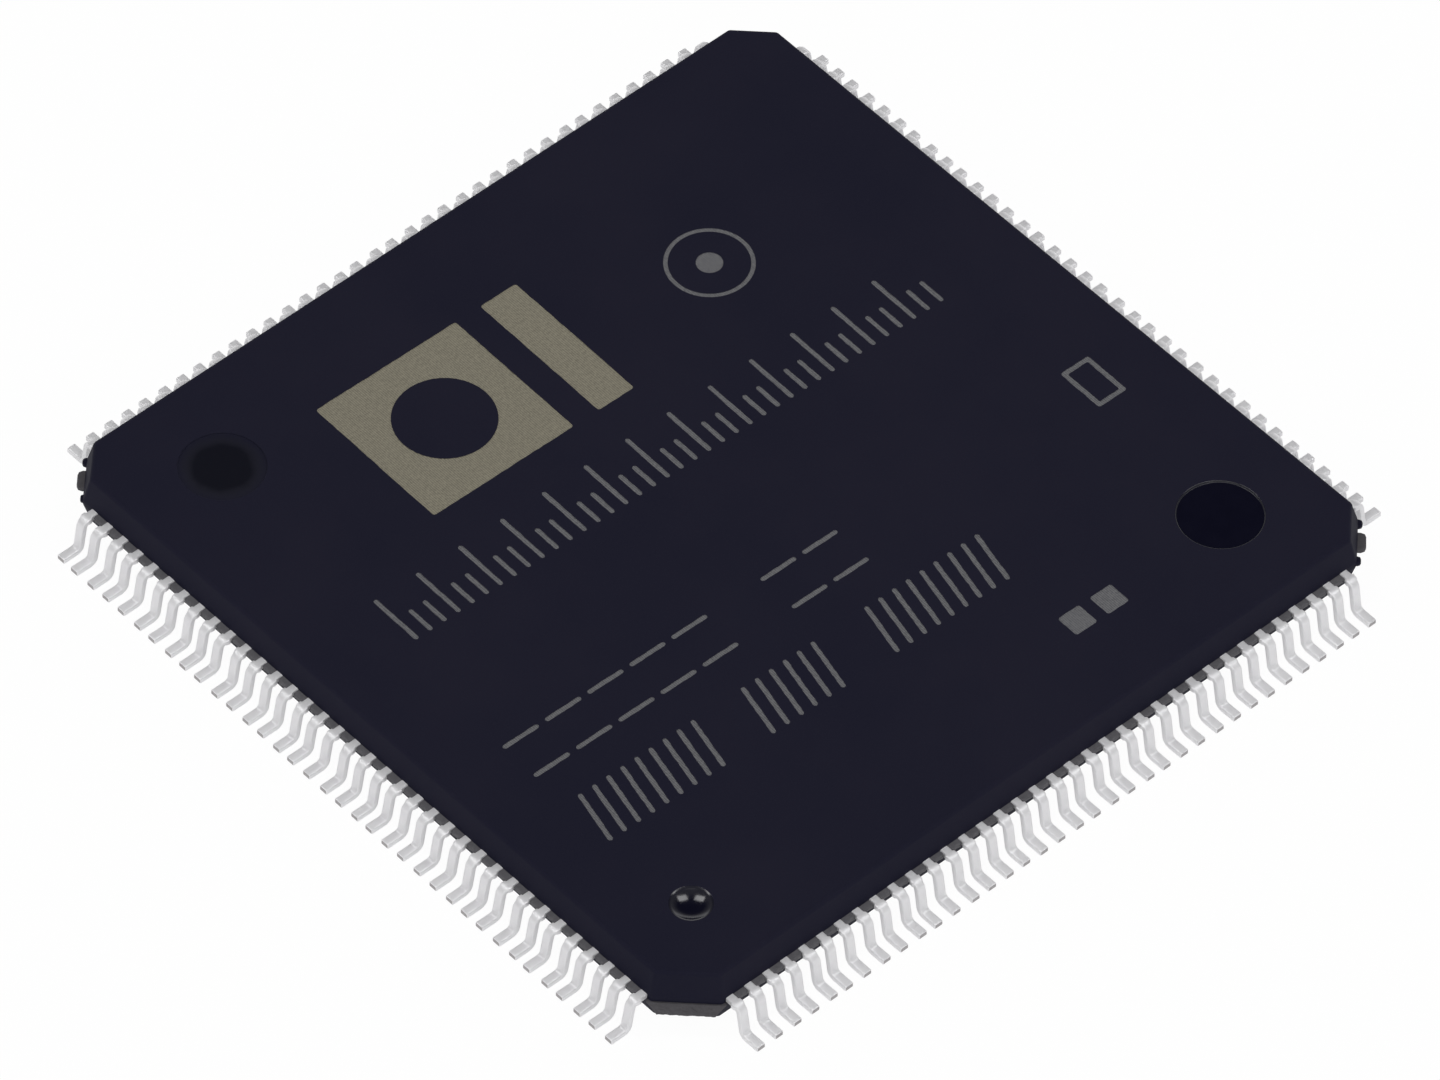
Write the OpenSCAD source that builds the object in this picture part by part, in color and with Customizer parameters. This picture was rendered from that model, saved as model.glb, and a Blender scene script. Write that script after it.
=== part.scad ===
// Quad flat pack chip: a thin moulded body with a row of gull-wing leads along each of its four sides.
// Origin: centre of the body on the seating plane, under the soles of the feet. +Z is up.
// Sides are named front (-Y), right (+X), back (+Y) and left (-X); the round dimple marks the
// corner of the front and left sides, and the leads count on from there, front row first.

/* [Lead rows] */
// Number of leads along each side
leads_per_side = 36; // [28:4:48]
// Spacing of the leads where they leave the body
lead_pitch = 0.5; // [0.4:0.05:0.8]
// From the last lead of a row to the end of that side of the body
corner_margin = 1.25; // [1.2:0.05:1.8]

/* [Moulded body] */
// Thickness of the moulding
body_thickness = 1.4; // [1.2:0.05:2.4]
// Air gap between the seating plane and the underside
standoff = 0.1; // [0.05:0.01:0.15]
// Lean of the side walls above and below the parting band
draft_angle = 15; // [5:1:16]
// Rounding of the top and bottom edges
edge_radius = 0.1; // [0.02:0.01:0.12]
// Length cut off each side by the three plain corners
corner_chamfer = 0.85; // [0.6:0.05:0.95]
// Length cut off each side by the corner of the first lead
first_corner_chamfer = 1.05; // [0.6:0.05:1.15]

/* [Mould marks] */
// Diameter of the dimple that marks the first lead
dimple_diameter = 1.0; // [0.6:0.1:1.5]
// Depth of the dimple
dimple_depth = 0.12; // [0.05:0.01:0.2]
// From the dimple's centre to the sides of the body
dimple_inset = 2.0; // [1.6:0.1:3]
// Diameter of the ejector-pin marks
ejector_diameter = 1.9; // [1:0.1:2.4]
// Depth of the ejector-pin marks
ejector_depth = 0.04; // [0.02:0.01:0.08]
// From an ejector-pin mark's centre to the sides of the body
ejector_inset = 2.5; // [2:0.1:3.5]

/* [Leads] */
// Thickness of the lead frame, plating included
frame_thickness = 0.13; // [0.1:0.01:0.16]
// Width of the legs and feet
lead_width = 0.22; // [0.17:0.01:0.26]
// Width of the necks, where the leads leave the body
neck_width = 0.2; // [0.14:0.01:0.22]
// Width of the stubs that the cut dam bar leaves on the leads
stub_width = 0.27; // [0.24:0.01:0.32]
// From the toe back to the leg, measured at the gauge height
foot_length = 0.6; // [0.5:0.05:0.75]
// From the body to the leg, measured at the gauge height
leg_gap = 0.4; // [0.38:0.01:0.6]
// Height above the seating plane at which the foot is measured
gauge_height = 0.25; // [0.2:0.01:0.3]
// Lean of the legs from the vertical
leg_lean = 10; // [4:1:14]
// Radius of both bends, to the middle of the metal
bend_radius = 0.15; // [0.12:0.01:0.16]

/* [Dam bar remains] */
// Reach of the resin webs between the leads, up to where the dam bar was
web_length = 0.17; // [0.12:0.01:0.2]
// Width of the dam bar that was punched out
dam_bar_width = 0.13; // [0.08:0.01:0.15]
// Bevel at the outer corners of the webs and tabs
web_bevel = 0.05; // [0.02:0.01:0.06]
// Reach of the resin tab between the two tie-bar prongs of a plain corner
corner_tab_reach = 0.18; // [0.1:0.01:0.25]

/* [Gate remains] */
// Reach of the resin left where the mould's gate met the first corner
gate_tab_reach = 0.17; // [0.1:0.01:0.25]
// Width of that resin across the corner, at its upper side
gate_tab_width = 1.66; // [1.2:0.02:1.7]
// Height of that resin, from the underside of the lead frame down
gate_tab_height = 0.22; // [0.1:0.01:0.3]
// Lean of its broken end from upright
gate_break_lean = 30; // [0:1:35]
// Resin over the end of the tie bar that points at the gate
gate_tie_cover = 0.1; // [0.05:0.01:0.2]

/* [Inner lead fingers] */
// Spacing of the finger tips around the die
tip_pitch = 0.2; // [0.18:0.01:0.22]
// Width of a finger tip
tip_width = 0.11; // [0.08:0.01:0.12]
// Straight length of a finger tip, where its wire is bonded
tip_length = 0.45; // [0.3:0.05:0.6]
// Width of the fingers along their straight run
finger_width = 0.25; // [0.2:0.01:0.28]
// Straight run of the fingers inside the side of the body
finger_run = 0.7; // [0.6:0.05:0.9]
// Length of the narrow neck inside the side of the body
neck_inset = 0.15; // [0.1:0.01:0.2]
// From the last finger tip of a row to the corner of the square of tips
tip_corner_room = 0.7; // [0.6:0.05:1]
// From the die paddle to the finger tips
tip_gap = 0.6; // [0.4:0.05:0.8]

/* [Die and its paddle] */
// Side of the silicon die
die_side = 4.6; // [3:0.1:6]
// Thickness of the die
die_thickness = 0.28; // [0.2:0.01:0.3]
// Thickness of the die-attach glue
attach_thickness = 0.025; // [0.015:0.005:0.04]
// Width of the glue that shows around the die
attach_margin = 0.06; // [0.02:0.01:0.1]
// Side of the paddle under the die
paddle_side = 7.2; // [6.6:0.1:8]
// Drop of the paddle below the leads
paddle_downset = 0.2; // [0.1:0.01:0.25]
// Length over which the tie bars slope down to the paddle
downset_run = 0.25; // [0.2:0.01:0.3]
// Width of the tie bars
tie_width = 0.24; // [0.16:0.02:0.26]
// Width of each prong at the outer end of a tie bar
prong_width = 0.14; // [0.1:0.01:0.16]
// Gap between the two prongs
prong_gap = 0.54; // [0.44:0.02:0.58]
// Length of the prongs with their cross-piece
prong_length = 0.42; // [0.35:0.01:0.44]

/* [Lead tape] */
// Width of the polyimide ring that ties the fingers together
tape_width = 0.8; // [0.5:0.05:1]
// Thickness of the ring
tape_thickness = 0.06; // [0.04:0.01:0.08]
// From the finger tips to the ring
tape_gap = 0.9; // [0.7:0.05:1.2]

/* [Bond wires] */
// Diameter of the wires
wire_diameter = 0.025; // [0.02:0.001:0.03]
// Diameter of the ball bonds on the die
ball_diameter = 0.06; // [0.05:0.005:0.08]
// Height of the ball bonds
ball_height = 0.015; // [0.01:0.001:0.02]
// Height of the wire loops above the die
loop_height = 0.18; // [0.14:0.01:0.2]
// From the edge of the die to the middle of its bond pads
pad_inset = 0.12; // [0.08:0.01:0.2]
// From the last bond pad of a row to the edge of the die
pad_corner_room = 0.3; // [0.2:0.01:0.5]
// Length of the stitch bonds on the finger tips
stitch_length = 0.09; // [0.07:0.005:0.12]
// Width of the stitch bonds
stitch_width = 0.06; // [0.05:0.005:0.07]
// Height of the stitch bonds
stitch_height = 0.015; // [0.01:0.001:0.02]

/* [Hidden] */
SIDES = ["front", "right", "back", "left"];
GROUPS_PER_SIDE = 6;

// Outside of the body
body_half = (leads_per_side - 1) * lead_pitch / 2 + corner_margin;
body_bottom = standoff;
body_top = standoff + body_thickness;
frame_mid = (body_bottom + body_top) / 2;
frame_bottom = frame_mid - frame_thickness / 2;
frame_top = frame_mid + frame_thickness / 2;
web_edge = body_half + web_length;
dam_edge = web_edge + dam_bar_width;

// Bent part of the leads, at the middle of the metal
leg_at_gauge = body_half + leg_gap + frame_thickness / 2 / cos(leg_lean);
shoulder_corner = leg_at_gauge + (gauge_height - frame_mid) * tan(leg_lean);
heel_corner = leg_at_gauge + (gauge_height - frame_thickness / 2) * tan(leg_lean);
bend_setback = bend_radius * tan((90 - leg_lean) / 2);
shoulder_end = shoulder_corner - bend_setback;
foot_start = heel_corner + bend_setback;
toe = body_half + leg_gap + foot_length;

// Lead frame inside the body
tip_row = max(paddle_side / 2 + tip_gap, (leads_per_side - 1) * tip_pitch / 2 + tip_corner_room);
fan_end = body_half - finger_run;
paddle_bottom = frame_bottom - paddle_downset;
die_bottom = paddle_bottom + frame_thickness + attach_thickness;
die_top = die_bottom + die_thickness;
pad_pitch = (die_side - 2 * pad_corner_room) / (leads_per_side - 1);
tape_inner = tip_row + tape_gap;

// Bond wires: rows of pads and stitches, and heights of the wire's axis at its kink and landing
pad_row = die_side / 2 - pad_inset;
stitch_row = tip_row + tip_length / 2;
kink = die_top + loop_height - wire_diameter / 2;
landing = frame_top + wire_diameter / 2;

bend_steps = 4;
CORNERS = [0:3]; // corner k lies a quarter turn after corner k - 1, and corner 0 is the first lead's
BIG = 4 * body_half;

// Distance from the centre to the chamfer of corner k, at the parting band
function chamfer_distance(k) =
    (2 * body_half - (k == 0 ? first_corner_chamfer : corner_chamfer)) / sqrt(2);

// Place of lead i of a row, at the body's side and at its tip, and of its bond pad
function lead_x(i) = (i - (leads_per_side - 1) / 2) * lead_pitch;
function tip_x(i) = (i - (leads_per_side - 1) / 2) * tip_pitch;
function pad_x(i) = (i - (leads_per_side - 1) / 2) * pad_pitch;
function wire_run(i) = [tip_x(i) - pad_x(i), pad_row - stitch_row];

// First lead of group g of a row
function group_start(g) = floor((g - 1) * leads_per_side / GROUPS_PER_SIDE);

// Points along an arc about [x, y]
function arc(x, y, r, from, to, steps = 4) =
    [for (k = [0:steps]) let (a = from + (to - from) * k / steps) [x + r * cos(a), y + r * sin(a)]];

// Upper right quarter of the body's section, for a wall that stands d from the centre at the band
function wall_quarter(d) =
    let (
        rise = body_top - frame_top,
        x = d - rise * tan(draft_angle),
        setback = edge_radius * tan((90 - draft_angle) / 2)
    )
    concat(
        [[d, frame_thickness / 2]],
        arc(x - setback, frame_thickness / 2 + rise - edge_radius, edge_radius, draft_angle, 90)
    );

// Closed section of the body between two walls, d_left and d_right from the centre
function body_section(d_left, d_right) =
    let (
        right = wall_quarter(d_right),
        left = wall_quarter(d_left),
        n = len(right)
    )
    concat(
        right,
        [for (k = [n - 1:-1:0]) [-left[k][0], left[k][1]]],
        [for (k = [0:n - 1]) [-left[k][0], -left[k][1]]],
        [for (k = [n - 1:-1:0]) [right[k][0], -right[k][1]]]
    );

// A section drawn along X and upward, run across the body along Y
module run_across(turn) {
    rotate([90, 0, turn])
        linear_extrude(BIG, center = true)
            children();
}

// Plain moulding: walls with draft, chamfered corners, rounded top and bottom edges
module drafted_block() {
    translate([0, 0, frame_mid])
        intersection() {
            run_across(0) polygon(body_section(body_half, body_half));
            run_across(90) polygon(body_section(body_half, body_half));
            run_across(45) polygon(body_section(chamfer_distance(0), chamfer_distance(2)));
            run_across(-45) polygon(body_section(chamfer_distance(3), chamfer_distance(1)));
        }
}

// Resin web between leads i and i + 1, as far as the dam bar let it go
module web_outline(i) {
    left = lead_x(i) + neck_width / 2;
    right = lead_x(i + 1) - neck_width / 2;
    polygon([
        [left, -body_half + web_length],
        [left, -web_edge + web_bevel],
        [left + web_bevel, -web_edge],
        [right - web_bevel, -web_edge],
        [right, -web_edge + web_bevel],
        [right, -body_half + web_length]
    ]);
}

// Resin tab on the chamfer of corner k, between the prongs of its tie bar
module corner_tab_outline(k) {
    wall = chamfer_distance(k);
    half = prong_gap / 2;
    rotate(225 + 90 * k)
        polygon([
            [wall - corner_tab_reach, -half],
            [wall + corner_tab_reach - web_bevel, -half],
            [wall + corner_tab_reach, -half + web_bevel],
            [wall + corner_tab_reach, half - web_bevel],
            [wall + corner_tab_reach - web_bevel, half],
            [wall - corner_tab_reach, half]
        ]);
}

// Small resin tabs outside the prongs of corner k, in the bend between chamfer and side
module side_tab_outline(k) {
    wall = chamfer_distance(k);
    start = prong_gap / 2 + prong_width;
    end = corner_chamfer / sqrt(2) + web_bevel;
    rotate(225 + 90 * k)
        for (m = [0, 1])
            mirror([0, m, 0])
                polygon([
                    [wall - corner_tab_reach, start],
                    [wall + corner_tab_reach / 2, start],
                    [wall + corner_tab_reach / 2, (start + end) / 2],
                    [wall, end],
                    [wall - corner_tab_reach, end]
                ]);
}

// Resin left at the gate of the first corner: a bar in the lower half of the mould, with flanks at
// 45 degrees and a broken end that slopes outward and down
module gate_tab() {
    low = frame_bottom - gate_tab_height;
    half = gate_tab_width / 2;
    root = chamfer_distance(0) - half;
    tip = chamfer_distance(0) + gate_tab_reach;
    rotate(225)
        intersection() {
            run_across(0)
                polygon([
                    [root, low],
                    [tip, low],
                    [tip - gate_tab_height * tan(gate_break_lean), frame_bottom],
                    [root, frame_bottom]
                ]);
            run_across(90)
                polygon([
                    [-half + gate_tab_height, low],
                    [half - gate_tab_height, low],
                    [half, frame_bottom],
                    [-half, frame_bottom]
                ]);
        }
}

module resin_fringe() {
    translate([0, 0, frame_bottom])
        linear_extrude(frame_thickness) {
            for (s = [0:3])
                rotate(90 * s)
                    for (i = [0:leads_per_side - 2])
                        web_outline(i);
            for (k = [1:3]) {
                corner_tab_outline(k);
                side_tab_outline(k);
            }
        }
    gate_tab();
}

// Where a mark sits for corner k: inset from the two sides that meet there
module at_corner(k, inset) {
    rotate(225 + 90 * k)
        translate([(body_half - inset) * sqrt(2), 0, 0])
            children();
}

module mould_marks() {
    dimple_sphere = (pow(dimple_diameter / 2, 2) + pow(dimple_depth, 2)) / (2 * dimple_depth);
    at_corner(0, dimple_inset)
        translate([0, 0, body_top - dimple_depth + dimple_sphere])
            sphere(dimple_sphere, $fn = 96);
    for (k = [1, 3])
        at_corner(k, ejector_inset)
            translate([0, 0, body_top - ejector_depth])
                cylinder(h = 2 * ejector_depth, d = ejector_diameter, $fn = 64);
    for (k = CORNERS)
        at_corner(k, ejector_inset)
            translate([0, 0, body_bottom - ejector_depth])
                cylinder(h = 2 * ejector_depth, d = ejector_diameter, $fn = 64);
}

// Stations along lead i of the front row: distance from the centre, place along the row, half width
function lead_stations(i) = [
    [tip_row, tip_x(i), tip_width / 2],
    [tip_row + tip_length, tip_x(i), tip_width / 2],
    [fan_end, lead_x(i), finger_width / 2],
    [body_half - neck_inset, lead_x(i), finger_width / 2],
    [body_half - neck_inset, lead_x(i), neck_width / 2],
    [web_edge, lead_x(i), neck_width / 2],
    [web_edge, lead_x(i), stub_width / 2],
    [dam_edge, lead_x(i), stub_width / 2],
    [dam_edge, lead_x(i), lead_width / 2],
    [toe, lead_x(i), lead_width / 2]
];

// Lead i as it is stamped from the sheet, before it is bent
module lead_outline(i) {
    stations = lead_stations(i);
    polygon(concat(
        [for (p = stations) [p[1] - p[2], -p[0]]],
        [for (k = [len(stations) - 1:-1:0]) [stations[k][1] + stations[k][2], -stations[k][0]]]
    ));
}

// Section of the bent sheet as one closed outline: distance from the centre across, height up
function gull_wing_outline() =
    let (
        shoulder = [shoulder_end, frame_mid - bend_radius],
        heel = [foot_start, frame_thickness / 2 + bend_radius],
        inner = bend_radius - frame_thickness / 2,
        outer = bend_radius + frame_thickness / 2
    )
    concat(
        [[tip_row, frame_top]],
        arc(shoulder[0], shoulder[1], outer, 90, leg_lean, bend_steps),
        arc(heel[0], heel[1], inner, 180 + leg_lean, 270, bend_steps),
        [[toe, frame_thickness], [toe, 0]],
        arc(heel[0], heel[1], outer, 270, 180 + leg_lean, bend_steps),
        arc(shoulder[0], shoulder[1], inner, leg_lean, 90, bend_steps),
        [[tip_row, frame_bottom]]
    );

// Leads from first to last of row s, stamped from one bent sheet
module leads(s, g) {
    first = group_start(g);
    last = group_start(g + 1) - 1;
    left = min(tip_x(first), lead_x(first)) - stub_width;
    right = max(tip_x(last), lead_x(last)) + stub_width;
    color("gainsboro")
        rotate(90 * s)
            intersection() {
                linear_extrude(body_top)
                    for (i = [first:last])
                        lead_outline(i);
                translate([right, 0, 0])
                    rotate([90, 0, -90])
                        linear_extrude(right - left)
                            polygon(gull_wing_outline());
            }
}

// All leads as flat metal, for the room that they take up in the resin
module flat_leads() {
    translate([0, 0, frame_bottom])
        linear_extrude(frame_thickness)
            for (s = [0:3])
                rotate(90 * s)
                    for (i = [0:leads_per_side - 1])
                        lead_outline(i);
}

// Tie bar of corner k in plan, along X from under the paddle's corner
module tie_outline(k) {
    start = paddle_side / 2;
    wall = chamfer_distance(k);
    if (k == 0) {
        translate([start, -tie_width / 2])
            square([wall - gate_tie_cover - start, tie_width]);
    } else {
        half = prong_gap / 2 + prong_width;
        translate([start, -tie_width / 2])
            square([wall - prong_length - start + prong_width, tie_width]);
        translate([wall - prong_length, -half])
            square([prong_width, 2 * half]);
        for (y = [-half, prong_gap / 2])
            translate([wall - prong_length, y])
                square([prong_length, prong_width]);
    }
}

// Side view of a tie bar: level with the paddle, up the slope, level with the leads
module tie_section() {
    slope_start = paddle_side / sqrt(2) + downset_run / 2;
    slope_end = slope_start + downset_run;
    end = chamfer_distance(1) + BIG;
    polygon([
        [0, paddle_bottom],
        [slope_start, paddle_bottom],
        [slope_end, frame_bottom],
        [end, frame_bottom],
        [end, frame_top],
        [slope_end, frame_top],
        [slope_start, paddle_bottom + frame_thickness],
        [0, paddle_bottom + frame_thickness]
    ]);
}

module die_paddle() {
    color("peru") {
        translate([-paddle_side / 2, -paddle_side / 2, paddle_bottom])
            cube([paddle_side, paddle_side, frame_thickness]);
        for (k = CORNERS)
            rotate(225 + 90 * k)
                intersection() {
                    linear_extrude(body_top) tie_outline(k);
                    rotate([90, 0, 0])
                        linear_extrude(2 * body_half, center = true) tie_section();
                }
    }
}

module die_attach() {
    side = die_side + 2 * attach_margin;
    color("silver")
        translate([-side / 2, -side / 2, die_bottom - attach_thickness])
            cube([side, side, attach_thickness]);
}

module die() {
    color("slategray")
        translate([-die_side / 2, -die_side / 2, die_bottom])
            cube([die_side, die_side, die_thickness]);
}

module lead_tape() {
    outer = tape_inner + tape_width;
    color("darkgoldenrod")
        translate([0, 0, frame_top])
            difference() {
                translate([-outer, -outer, 0])
                    cube([2 * outer, 2 * outer, tape_thickness]);
                translate([-tape_inner, -tape_inner, -tape_thickness])
                    cube([2 * tape_inner, 2 * tape_inner, 3 * tape_thickness]);
            }
}

// Puts a wire's own drawing, along X from the middle of its pad, in its place in the front row
module at_pad(i) {
    along = wire_run(i);
    translate([pad_x(i), -pad_row, 0])
        rotate(atan2(along[1], along[0]))
            children();
}

// Where the wire meets the die and the finger: a flattened ball and a stitch
module bonds(run) {
    translate([0, 0, die_top])
        cylinder(h = ball_height, d = ball_diameter, $fn = 32);
    translate([run - stitch_length / 2, -stitch_width / 2, frame_top])
        cube([stitch_length, stitch_width, stitch_height]);
}

// Bond wire i of the front row: up from its ball, over the kink and down to its stitch
module bond_wire(i) {
    run = norm(wire_run(i));
    slope = atan2(kink - landing, run);
    at_pad(i) {
        bonds(run);
        translate([0, 0, die_top])
            cylinder(h = kink + wire_diameter / 2 - die_top, d = wire_diameter, $fn = 16);
        translate([run, 0, landing])
            rotate([0, slope - 90, 0])
                cylinder(h = norm([run, kink - landing]), d = wire_diameter, $fn = 16);
    }
}

// Room for wire i in the resin: a square channel that just holds the round wire
module wire_room(i) {
    run = norm(wire_run(i));
    slope = atan2(kink - landing, run);
    r = wire_diameter / 2;
    across = r * [sin(slope), cos(slope)];
    fall = r * tan(slope);
    rise = r / cos(slope);
    at_pad(i) {
        bonds(run);
        rotate([90, 0, 0])
            linear_extrude(wire_diameter, center = true)
                polygon([
                    [-r, die_top],
                    [r, die_top],
                    [r, kink - fall - rise],
                    [run, landing] - across,
                    [run, landing] + across,
                    [r, kink - fall + rise],
                    [r, kink + r],
                    [-r, kink + r]
                ]);
    }
}

module wires(s, g) {
    color("gold")
        rotate(90 * s)
            for (i = [group_start(g):group_start(g + 1) - 1])
                bond_wire(i);
}

module mould_body() {
    color([0.13, 0.13, 0.16])
        difference() {
            union() {
                drafted_block();
                resin_fringe();
            }
            mould_marks();
            flat_leads();
            die_paddle();
            die_attach();
            die();
            lead_tape();
            for (s = [0:3], i = [0:leads_per_side - 1])
                rotate(90 * s)
                    wire_room(i);
        }
}

mould_body();
die_paddle();
die_attach();
die();
lead_tape();
for (s = [0:3], g = [1:GROUPS_PER_SIDE]) {
    leads(s, g);
    wires(s, g);
}
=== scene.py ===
"""Looks of a quad flat pack chip: the moulding with its marks, the gull-wing leads, and the metal inside."""

import math
import random

import bpy
from mathutils import Matrix, Vector
from mathutils.geometry import delaunay_2d_cdt


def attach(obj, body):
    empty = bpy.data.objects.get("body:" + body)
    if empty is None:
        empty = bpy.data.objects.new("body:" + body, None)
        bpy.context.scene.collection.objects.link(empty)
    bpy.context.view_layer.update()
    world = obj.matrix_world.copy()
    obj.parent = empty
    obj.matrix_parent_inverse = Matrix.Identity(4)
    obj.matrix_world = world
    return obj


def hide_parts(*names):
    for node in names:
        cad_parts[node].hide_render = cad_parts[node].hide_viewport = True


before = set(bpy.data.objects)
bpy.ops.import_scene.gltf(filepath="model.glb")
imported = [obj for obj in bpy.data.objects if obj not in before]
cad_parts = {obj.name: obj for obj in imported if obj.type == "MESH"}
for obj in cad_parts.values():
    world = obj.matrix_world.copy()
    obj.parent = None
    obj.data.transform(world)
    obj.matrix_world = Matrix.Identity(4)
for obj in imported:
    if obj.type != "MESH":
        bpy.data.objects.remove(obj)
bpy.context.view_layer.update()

MM = 0.001
SIDES = ("front", "right", "back", "left")

# Outside of the moulding, in millimetres
HALF = 10.0
BOTTOM, TOP = 0.1, 1.5
FRAME_LOW, FRAME_HIGH = 0.735, 0.865
DRAFT = math.radians(15)
EDGE_RADIUS = 0.1
CORNER_ROUNDING = 0.1
CORNER_CUTS = (1.05, 0.85, 0.85, 0.85)
TIE_COVER = 0.003  # resin over the tie bars' flush ends
CHAMFER_WALLS = [(2 * HALF - cut) / math.sqrt(2) + TIE_COVER for cut in CORNER_CUTS]
WEB_LENGTH = 0.17
GATE_REACH, GATE_WIDTH, GATE_HEIGHT, GATE_LEAN = 0.17, 1.66, 0.22, math.radians(30)

# Resin that ran out between the leads and at the corners
FRINGE_GAP = 0.006  # short of the lead frame's faces
WEB_SIDE = 0.097  # from a lead's middle, a hair inside the flank of its neck
WEB_EDGE, LUMP_EDGE = 0.022, 0.025
WEB_ROOT, LUMP_ROOT = 0.1, 0.15  # depth inside the moulding

# Leads
LEADS = 36
GROUPS = 6
PITCH = 0.5
TIP_PITCH = 0.2
THICKNESS = FRAME_HIGH - FRAME_LOW
FRAME_MID = (FRAME_LOW + FRAME_HIGH) / 2

# Stations along a lead, as distances from the centre of the package, and half its width there
TIP_ROW, TIP_END = 4.2, 4.65
FAN_END, SHANK_END = 9.3, 9.84
NECK_START, NECK_END = 9.86, 10.16
FREE_START = 10.2
TIP_HALF, SHANK_HALF, NECK_HALF, STUB_HALF, LEAD_HALF = 0.055, 0.125, 0.1, 0.135, 0.11
SOFT_CORNER, TIGHT_CORNER, CORNER_LAND = 0.03, 0.018, 0.012
LEAN = math.radians(10)
BEND = 0.15
SHOULDER_END = 10.2431
FOOT_START = 10.6245
TOE = 11.0

# Shallow forms in the two big faces
DIMPLE = {"at": (-8.05, -8.02), "radius": 0.46, "depth": 0.13, "lip": 0.012}
PIN_RADIUS, PIN_DEPTH, PIN_LIP, PIN_AT = 0.95, 0.04, 0.02, 7.5
MARK_DEPTH = 0.012
MARK_STROKE = 0.115
MARK_TURN = math.radians(-1.0)

# Finishes of the moulding, in the order of its material slots
# The webs' finish is a lighter grey of the same resin, a painted reflection of the floor; the tab's is
# painted light.
RESIN, POLISHED, WORN, MARK_LINE, MARK_FIELD, WEB_PAINTED_REFLECTION, TAB_PAINTED_LIGHT = range(7)


# ---------------------------------------------------------------- shader nodes


class Wire:
    """One output of a finish's nodes. Sums and products with it add Math nodes."""

    def __init__(self, finish, socket):
        self.finish, self.socket = finish, socket

    def math(self, operation, a, b):
        return self.finish.add("ShaderNodeMath", {"operation": operation}, {0: a, 1: b})

    def __add__(self, other):
        return self.math("ADD", self, other)

    __radd__ = __add__

    def __mul__(self, other):
        return self.math("MULTIPLY", self, other)

    __rmul__ = __mul__


class Finish:
    """A material or world made of nodes."""

    def __init__(self, owner):
        self.owner = owner
        owner.use_nodes = True
        self.tree = owner.node_tree
        self.tree.nodes.clear()

    def add(self, kind, settings=None, inputs=None, output=0):
        node = self.tree.nodes.new(kind)
        for name, value in (settings or {}).items():
            if name == "stops":
                while len(node.color_ramp.elements) < len(value):
                    node.color_ramp.elements.new(0.5)
                for element, (place, shade) in zip(node.color_ramp.elements, value):
                    element.position = place
                    element.color = (shade, shade, shade, 1)
            else:
                setattr(node, name, value)
        for name, value in (inputs or {}).items():
            if isinstance(value, Wire):
                self.tree.links.new(value.socket, node.inputs[name])
            else:
                node.inputs[name].default_value = value
        return Wire(self, node.outputs[output]) if node.outputs else None

    def place(self):
        return self.add("ShaderNodeTexCoord", output="Object")

    def noise(self, per_mm, detail, roughness=0.5):
        return self.add(
            "ShaderNodeTexNoise",
            {},
            {"Vector": self.place(), "Scale": per_mm / MM, "Detail": detail, "Roughness": roughness},
        )

    def grade(self, factor, *stops):
        return self.add("ShaderNodeValToRGB", {"stops": stops}, {0: factor})

    def blend(self, factor, a, b):
        """A Mix node's colours: its sockets 6 and 7, and its output 2."""
        return self.add("ShaderNodeMix", {"data_type": "RGBA"}, {0: factor, 6: a, 7: b}, output=2)

    def bump(self, height, strength, depth_mm):
        inputs = {"Strength": strength, "Distance": depth_mm * MM, "Height": height}
        return self.add("ShaderNodeBump", {}, inputs)

    def surface(self, **sockets):
        named = {name.replace("_", " "): value for name, value in sockets.items()}
        shader = self.add("ShaderNodeBsdfPrincipled", {}, named)
        self.add("ShaderNodeOutputMaterial", {}, {0: shader})
        return self.owner


def new_finish(name):
    return Finish(bpy.data.materials.new(name))


def tone(red, green, blue):
    """A colour given as it looks on a screen, 0 to 255, as the linear colour that shaders take."""
    def linear(level):
        level /= 255
        return level / 12.92 if level <= 0.04045 else ((level + 0.055) / 1.055) ** 2.4
    return (linear(red), linear(green), linear(blue), 1)


def mould_compound():
    f = new_finish("mould_compound")
    cloud = f.noise(0.35, 3)
    grain = f.noise(22, 3, 0.6)
    colour = f.blend(f.grade(cloud, (0.35, 0.0), (0.65, 1.0)), tone(12, 12, 34), tone(17, 16, 36))
    speck = f.grade(f.noise(30, 1), (0.62, 0.0), (0.72, 1.0))
    return f.surface(
        Base_Color=f.blend(speck * 0.3, colour, tone(34, 34, 44)),
        Roughness=0.74 + 0.1 * grain,
        Specular_IOR_Level=0.22,
        Normal=f.bump(grain, 0.35, 0.006),
    )


def polished_resin():
    f = new_finish("polished_resin")
    swirl = f.noise(3, 3)
    return f.surface(
        Base_Color=f.blend(swirl, tone(10, 10, 25), tone(14, 14, 30)),
        Roughness=0.1 + 0.08 * swirl,
        Specular_IOR_Level=0.5,
        Normal=f.bump(f.noise(9, 2), 0.1, 0.003),
    )


def worn_resin():
    """A pin mark that fades into the resin around it."""
    f = new_finish("worn_resin")
    wander = 0.16  # how far the worn edge strays from round
    from_middle = f.add(
        "ShaderNodeVectorMath", {"operation": "DISTANCE"},
        {0: f.place(), 1: (-PIN_AT * MM, PIN_AT * MM, TOP * MM)}, output="Value",
    )
    cloud = f.noise(2.5, 3)
    grain = f.noise(22, 3, 0.6)
    across = (from_middle * (1 / MM) + wander * cloud) * (0.5 / PIN_RADIUS)
    fade = f.grade(across, (0.36, 0.0), (0.55, 1.0))
    return f.surface(
        Base_Color=f.blend(fade, tone(6, 7, 20), tone(14, 14, 34)),
        Roughness=0.36 + 0.4 * fade + 0.06 * grain,
        Specular_IOR_Level=0.22,
        Normal=f.bump(grain, 0.3, 0.005),
    )


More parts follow.
